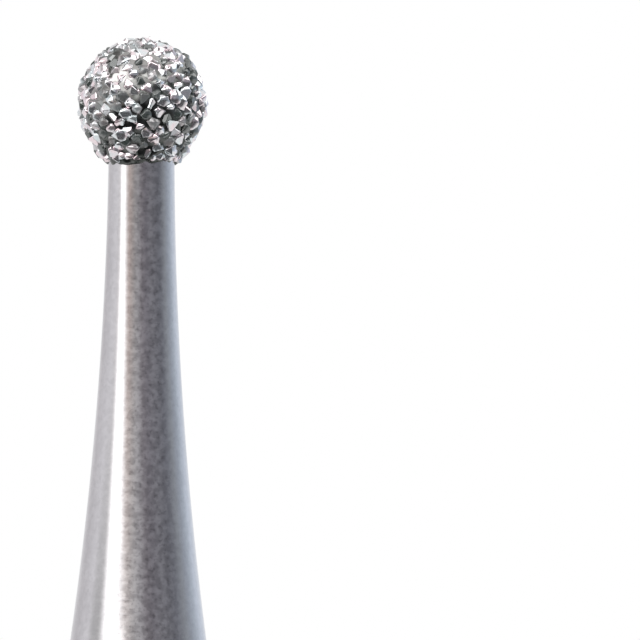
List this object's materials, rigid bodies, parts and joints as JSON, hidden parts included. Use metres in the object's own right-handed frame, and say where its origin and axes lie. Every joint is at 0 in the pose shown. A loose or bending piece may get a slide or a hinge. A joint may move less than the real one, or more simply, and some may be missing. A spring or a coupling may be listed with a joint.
{
  "type": "dental bur",
  "caption": "Slim rotary cutting tool: a small ball head covered in diamond grit, on a concave tapered neck, a conical shoulder and a straight round shank.",
  "frame": {"origin": "centre of the shank's flat end face", "axes": "+Z along the tool's axis from the shank's end to the ball head; X and Y across the shank"},
  "size_m": [0.0024, 0.0024, 0.0445],
  "materials": {
    "steel": "ground and lightly polished stainless steel",
    "nickel": "satin electroplated nickel",
    "diamond": "glassy crystal facets"
  },
  "bodies": {
    "root": {"steel_blank": "steel", "nickel_plating": "nickel", "diamond_grit": "diamond"}
  },
  "joints": []
}
